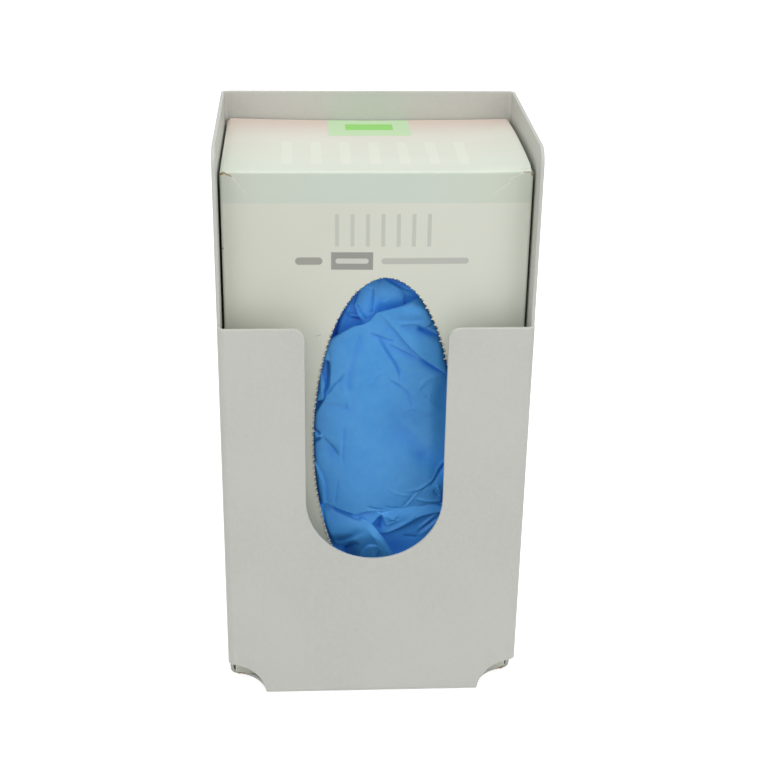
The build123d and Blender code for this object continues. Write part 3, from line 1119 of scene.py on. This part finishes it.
def foot_wrinkles(film):
    """Wrinkles at the lower right, and the crisp folds along the foot."""
    film.folds(
        ([(33, 109.5), (30, 105.9), (28.1, 102.7), (26.6, 100), (23, 97.2), (19.4, 95.4), (13.5, 94.6)],
         0.55, 0.6, 0.6, (0, 0.3)),
        ([(33, 106.8), (30.4, 103.8), (28.6, 101), (26.4, 97.6), (23, 95.4)], -0.9, 0.9, 1.1, (0, 0.35)),
        ([(26, 99.4), (24, 97), (22, 94.6)], -0.5, 0.4, 0.5),
        ([(19.6, 94.9), (18.2, 92.7), (16.2, 89.9), (13.2, 86.4)], -0.35, 0.4, 0.7, (0.3, 0.25)),
        ([(20.4, 94.4), (18.6, 91.6), (16.6, 88.9), (15, 87)], 0.35, 0.4, 0.5),
        ([(18.5, 91.4), (22.4, 90.2), (26.5, 89.6), (33, 88.6)], 1, 0.5, 0.7, (0.25, 0)),
        ([(27.3, 95.2), (28.4, 92.7), (30.2, 91.2)], -0.7, 0.4, 0.5),
        ([(28.8, 97.8), (29.8, 94.8), (31.5, 93)], 0.5, 0.6, 0.6),
        ([(6.7, 96.6), (10, 94.1), (14.1, 92.8), (17.6, 92.7)], 0.3, 0.5, 0.6),
        ([(-2.7, 88), (-0.4, 86.8), (2.4, 86), (6, 85.8)], -0.55, 0.35, 0.6),
        ([(4.4, 87.6), (9, 86.2), (13, 86.6)], -0.3, 0.6, 0.7),
    )


def puff_film():
    """The puffed film behind the ridge, which fills the top of the opening."""
    left, right = np.array(PUFF_LEFT), np.array(PUFF_RIGHT)
    up = np.linspace(left[0, 0], left[-1, 0], 118)
    low, high = np.interp(up, *left.T), np.interp(up, *right.T)
    x = low[:, None] + (high - low)[:, None] * np.linspace(0, 1, 116)
    z = np.broadcast_to(up[:, None], x.shape)
    film = Film(x, z, PUFF_OUT, painted_glow_base=0.2)
    film.out += 1.8 * hump(x, z, (4, 190), (8, 5)) + 0.9 * hump(x, z, (-5, 186), (3.5, 6))
    film.out -= 0.8 * (1 - ease(z, 181, 186)) * ease(x, -1, 2)
    film.tuck([(12.2, 183.6), (12.1, 186.9), (11.7, 188.9), (10.9, 190.6)], 0.5, 0.8, 40, (0, 0))
    film.folds(
        ([(-0.9, 191.4), (-0.8, 187), (-0.7, 182.9), (-0.8, 178.5)], -0.8, 0.25, 1.3, (0.2, 0.1)),
        ([(-4.1, 191.3), (-2.6, 190.6), (-1.4, 190.6), (-0.3, 191.4)], -0.25, 0.4, 0.5),
        ([(-8.6, 183.9), (-6.8, 181.3), (-5.3, 178.9), (-3.2, 175.6)], -0.8, 0.9, 0.3, (0.2, 0.1)),
        ([(-7.5, 181.6), (-6.9, 179.4), (-5.6, 177.4)], 0.7, 0.5, 0.5, (0.2, 0.1)),
        ([(2.1, 195.4), (2.1, 191), (1.7, 187.2)], 0.45, 0.9, 1.1),
        ([(-0.4, 186.4), (2.2, 185.8), (5.8, 186.6)], -0.3, 0.8, 1.8, (0.2, 0.4)),
        ([(3, 183.4), (6, 186.4), (7, 189.6)], 0.4, 1.4, 1.4),
        ([(13.4, 189), (15, 187.8), (17.2, 187.2)], 0.6, 0.5, 0.6),
    )
    film.waved(43, 13, 0.10)
    film.sunk_at_opening(2.4, 0.6)
    film.rolled(left[:, ::-1], 0.9)
    film.rolled(right[:, ::-1], 0.7)
    film.turned_back("left", 0.9, 4)
    film.turned_back("right", 0.7, 4)
    return film


def deep_film():
    """The film that lies deepest, seen dark behind the others."""
    across = spaced(front_low[0], -25, 32, front_high[0], fine=0.5, coarse=4)
    up = spaced(front_low[2] + 30, 162, 204, front_high[2] - 5, fine=0.5, coarse=5)
    x, z = np.meshgrid(across, up)
    film = Film(x, z, DEEP_OUT)
    film.out += 1.7 * ease(x, 2, 12) - 2.0 * hump(x, z, (0.4, 197.2), (1.6, 1.6))
    film.tuck(
        [(-15.4, 168), (-14.7, 172.8), (-13.6, 176.5), (-11.7, 181), (-9.1, 185.4), (-6.9, 190.7),
         (-4, 197)], -1.8, 1, 30, (0, 0),
    )
    film.folds(
        ([(-12.2, 177.8), (-9.6, 178.2), (-5.3, 177.2)], 1.5, 0.5, 1, (0.3, 0)),
        ([(-10.6, 176.6), (-7.6, 176.2), (-4.5, 175.9)], -1.2, 0.5, 0.6, (0.3, 0)),
        ([(-17.6, 169), (-17.2, 172), (-16, 175.6)], -1.2, 0.6, 0.6),
        ([(-20.5, 167), (-18, 176), (-13.5, 184)], 0.7, 1.6, 1.6),
        ([(5, 195.6), (10, 193.2), (16, 190.8), (24, 188.8)], -0.9, 0.5, 0.8, (0.1, 0)),
        ([(7, 196.6), (13, 194), (20, 190.8)], 0.6, 0.5, 0.6),
        ([(10, 196.2), (15, 193.6), (21, 189.6)], -0.4, 0.4, 0.4),
    )
    film.waved(51, 16, 0.2)
    return film


def cuff_film():
    """The upper film of the lower glove, rolled over at its top and right edges."""
    across = spaced(lower_low[0], -26, 14.2, 14.5, fine=0.36)
    rows = np.concatenate([np.linspace(0, 0.6, 16)[:-1], np.linspace(0.6, 1, 110)])
    x, z = under_curve(across, lower_low[2] + 0.3, LOWER_EDGE, rows)
    film = Film(x, z, CUFF_OUT, painted_glow_base=0.1)
    film.out += 3.2 * (1 - ease(z, 72, 87)) + 0.8 * hump(x, z, (2, 74), (9, 6))
    left_foot = (1 - ease(z, 59, 75)) * (1 - 0.9 * ease(x, -13, -4))
    film.out -= 5.6 * left_foot - 3.0 * hump(x, z, (6, 57), (9, 14))
    film.waved(61, 24, 0.15)
    film.tuck(
        [(5.6, 68.2), (4.2, 69.2), (1.8, 69.4), (-1.5, 68.8), (-3.3, 67), (-4.8, 64.1), (-5.9, 60.6),
         (-6.6, 55)], 1.2, 0.9, 30, (0.35, 0),
    )
    film.folds(
        ([(-18, 87.2), (-15.1, 85.5), (-11, 83.6), (-7.3, 81.7), (-4.5, 80.4)], -6.5, 1, 0.9, (0.25, 0.2)),
        ([(-3.6, 78.6), (0.2, 74.6), (2.8, 70.8), (5.2, 66.4), (7, 62.4), (8.8, 57)], 1.6, 2.8, 2.2,
         (0.25, 0)),
        ([(-17.6, 68.4), (-11, 71.2), (-5.6, 74.4), (-1.6, 75.4)], -0.9, 2.2, 1.2, (0.2, 0.35), 1.8),
        ([(-15, 66.6), (-10.5, 69.6), (-6, 72.2)], 0.5, 0.6, 0.9),
        ([(-13, 63.6), (-9.6, 66.8), (-5.4, 69.2)], -0.6, 0.7, 0.9),
    )
    film.sunk_at_opening(1.2, 0.4)
    film.rolled([p for p in LOWER_EDGE if p[1] > 5], 0.5)
    film.turned_back("top", 0.9, 3)
    return film


def under_film():
    """The film of the lower glove that shows right of the cuff, in diagonal folds."""
    across = spaced(lower_low[0], -9, 34.5, lower_high[0], fine=0.36)
    up = spaced(lower_low[2] + 0.3, 56, lower_high[2] - 0.2, lower_high[2], fine=0.36)
    x, z = np.meshgrid(across, up)
    film = Film(x, z, UNDER_OUT, painted_glow_base=0.4)
    film.out += 1.2 * hump(x, z, (13, 83), (9, 4)) - 1.0 * ease(x, 24, 34)
    film.out -= 4.5 * hump(x, z, (-10, 85), (7, 3)) + 0.6 * hump(x, z, (11, 66), (6, 6))
    film.out -= 2.6 * (1 - ease(z, 60, 74))
    film.tuck(
        [(2, 71.6), (5.5, 72.9), (10.8, 75.3), (14.5, 77.4), (17.6, 79.6), (21.5, 82), (26.5, 83.2),
         (34, 84.2)], 2.3, 0.7, 5.5, (0.2, 0),
    )
    film.folds(
        ([(10.8, 76.6), (14.5, 78.7), (17.6, 81.4), (20.6, 84.6)], 0.3, 0.7, 0.7),
        ([(4.2, 84.4), (2.2, 81.4), (0, 78.4)], 1.9, 0.4, 2.8, (0.1, 0)),
        ([(4.2, 84.4), (5.3, 81), (6.8, 77.2)], 1.7, 2.8, 0.5, (0.1, 0.1)),
        ([(4, 82.6), (3.7, 79.8), (3.2, 76)], -1.4, 1.1, 1.1, (0.25, 0)),
        ([(5.6, 84), (8.4, 81.4), (11.6, 80)], 0.7, 0.8, 0.8),
        ([(6.4, 79), (9.8, 80.2), (12.4, 82.4)], -0.5, 0.4, 0.6),
        ([(13.6, 71), (18, 70.4), (21.5, 70)], -0.7, 0.8, 1.2),
        ([(20.5, 73.4), (21.9, 76.1), (25.9, 79.8), (31.5, 84.6)], 0.8, 0.4, 0.8, (0.25, 0)),
        ([(19.8, 71.8), (24, 75.8), (29, 80.4)], -0.8, 0.5, 0.7),
        ([(21.4, 71), (25.6, 75), (31, 80.4)], 0.6, 0.5, 0.7, (0.25, 0)),
        ([(19.6, 86.6), (24.4, 88.2), (28.5, 87.9), (32, 85.6)], -0.9, 0.8, 0.9, (0.3, 0)),
    )
    film.waved(71, 15, 0.14)
    return film


def back_film():
    """The hidden back of the lower glove."""
    across = np.linspace(lower_low[0], lower_high[0], 40)
    up = np.linspace(lower_low[2] + 0.3, lower_high[2] - 1, 32)
    x, z = np.meshgrid(across, up)
    film = Film(x, z, BACK_OUT)
    film.waved(81, 30, 0.4)
    return film


def add_glove(name, films, low, high, node, material):
    patches = Patches()
    for film in films:
        patches.add(film.grid(low, high), flip=True)
    # Painted shade and painted glow, worked out from each film's shape
    values = {
        PAINTED_SHADE: np.concatenate([film.hollow().ravel() for film in films]),
        PAINTED_GLOW: np.concatenate([film.glow().ravel() for film in films]),
    }
    glove = mesh_object(name, patches.all_points(), patches.faces, [material], values)
    glove.data.shade_smooth()
    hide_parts(node)
    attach(glove, BODY)
    return glove


def pad_outline(turn, half, corner):
    """One coordinate round a pad with soft corners, from the cosine or sine of the turn."""
    return np.sign(turn) * (half - corner) * np.minimum(1, 1.5 * np.abs(turn)) + corner * turn


def add_stack(material):
    """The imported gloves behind, each folded into a flat pad with soft edges."""
    low, high = box_mm("glove_stack")
    thickness = (high[1] - low[1]) / PADS
    chance = np.random.default_rng(91)
    patches = Patches()
    turns = np.linspace(0, 2 * math.pi, 97)
    cos, sin = np.cos(turns), np.sin(turns)
    for index in range(PADS):
        middle_y = low[1] + (index + 0.5) * thickness
        # Insets at the left, the right and the top, and one that isn't used
        inset = chance.uniform(0.2, 2.2, 4)
        half_x = (high[0] - low[0] - inset[0] - inset[1]) / 2
        half_z = (high[2] - low[2] - inset[2]) / 2
        centre_x = (low[0] + inset[0] + high[0] - inset[1]) / 2
        centre_z = low[2] + half_z
        corner = 5 + chance.uniform(0, 2)
        rings = []
        for level in np.linspace(0, math.pi, 9):
            shrink = 0.9 * (1 - math.sin(level))
            x = centre_x + pad_outline(cos, half_x, corner) * (half_x - shrink) / half_x
            z = centre_z + pad_outline(sin, half_z, corner) * (half_z - shrink) / half_z
            y = middle_y - 0.49 * thickness * math.cos(level)
            rings.append(np.stack([x, np.full(len(turns), y), z], axis=1))
        middles = [[centre_x, ring[0, 1], centre_z] for ring in (rings[0], rings[-1])]
        front, back = (np.tile(middle, (len(turns), 1)) for middle in middles)
        patches.add(np.stack([front, *rings, back]))
    # Painted shade and a painted glow, the same all over the stack
    values = {PAINTED_SHADE: np.full(patches.count, 0.6), PAINTED_GLOW: np.full(patches.count, 0.2)}
    stack = mesh_object("glove_stack_folds", patches.all_points(), patches.faces, [material], values)
    stack.data.shade_smooth()
    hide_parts("glove_stack")
    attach(stack, BODY)


film_material = nitrile()
add_stack(film_material)
front_films = [main_film(), puff_film(), deep_film()]
add_glove("front_glove_film", front_films, front_low, front_high, "front_glove", film_material)
lower_films = [cuff_film(), under_film(), back_film()]
add_glove("lower_glove_film", lower_films, lower_low, lower_high, "lower_glove", film_material)
